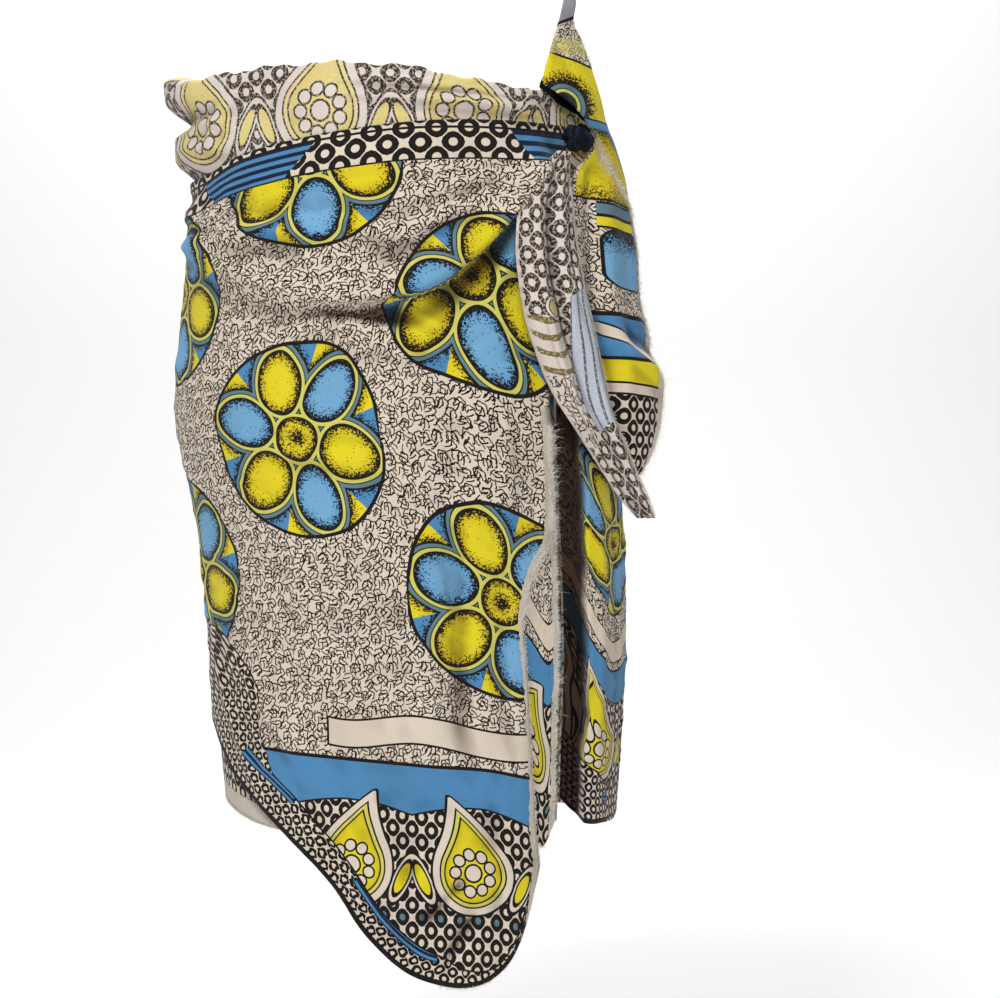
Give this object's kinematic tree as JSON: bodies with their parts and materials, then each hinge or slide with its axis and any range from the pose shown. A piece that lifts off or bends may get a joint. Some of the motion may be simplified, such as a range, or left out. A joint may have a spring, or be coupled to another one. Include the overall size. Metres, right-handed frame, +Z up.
{
  "type": "printed cotton wrap cloth",
  "caption": "Printed cotton cloth worn as a wrap skirt, its top edge folded out at the waist, knotted at one hip with loose tails and a slanting hem.",
  "frame": {"origin": "centre of the waist opening, where the cloth grips its wearer", "axes": "+Z up, -Y towards the front, +X towards the knot"},
  "size_m": [0.4641, 0.3049, 0.8743],
  "materials": {
    "waist_fold_front": "matt printed cotton",
    "waist_fold_back": "matt printed cotton",
    "inner_front": "matt printed cotton",
    "front_panel": "matt printed cotton",
    "edge_pleat": "matt printed cotton",
    "back_panel": "matt printed cotton",
    "side_panel": "matt printed cotton",
    "knot": "matt printed cotton",
    "up_tail": "matt printed cotton",
    "wide_tail": "matt printed cotton",
    "narrow_tail": "matt printed cotton"
  },
  "bodies": {
    "root": {"waist_fold_front": "waist_fold_front", "waist_fold_back": "waist_fold_back", "inner_front": "inner_front", "front_panel": "front_panel", "edge_pleat": "edge_pleat", "back_panel": "back_panel", "side_panel": "side_panel", "knot": "knot", "up_tail": "up_tail", "wide_tail": "wide_tail", "narrow_tail": "narrow_tail"}
  },
  "joints": []
}
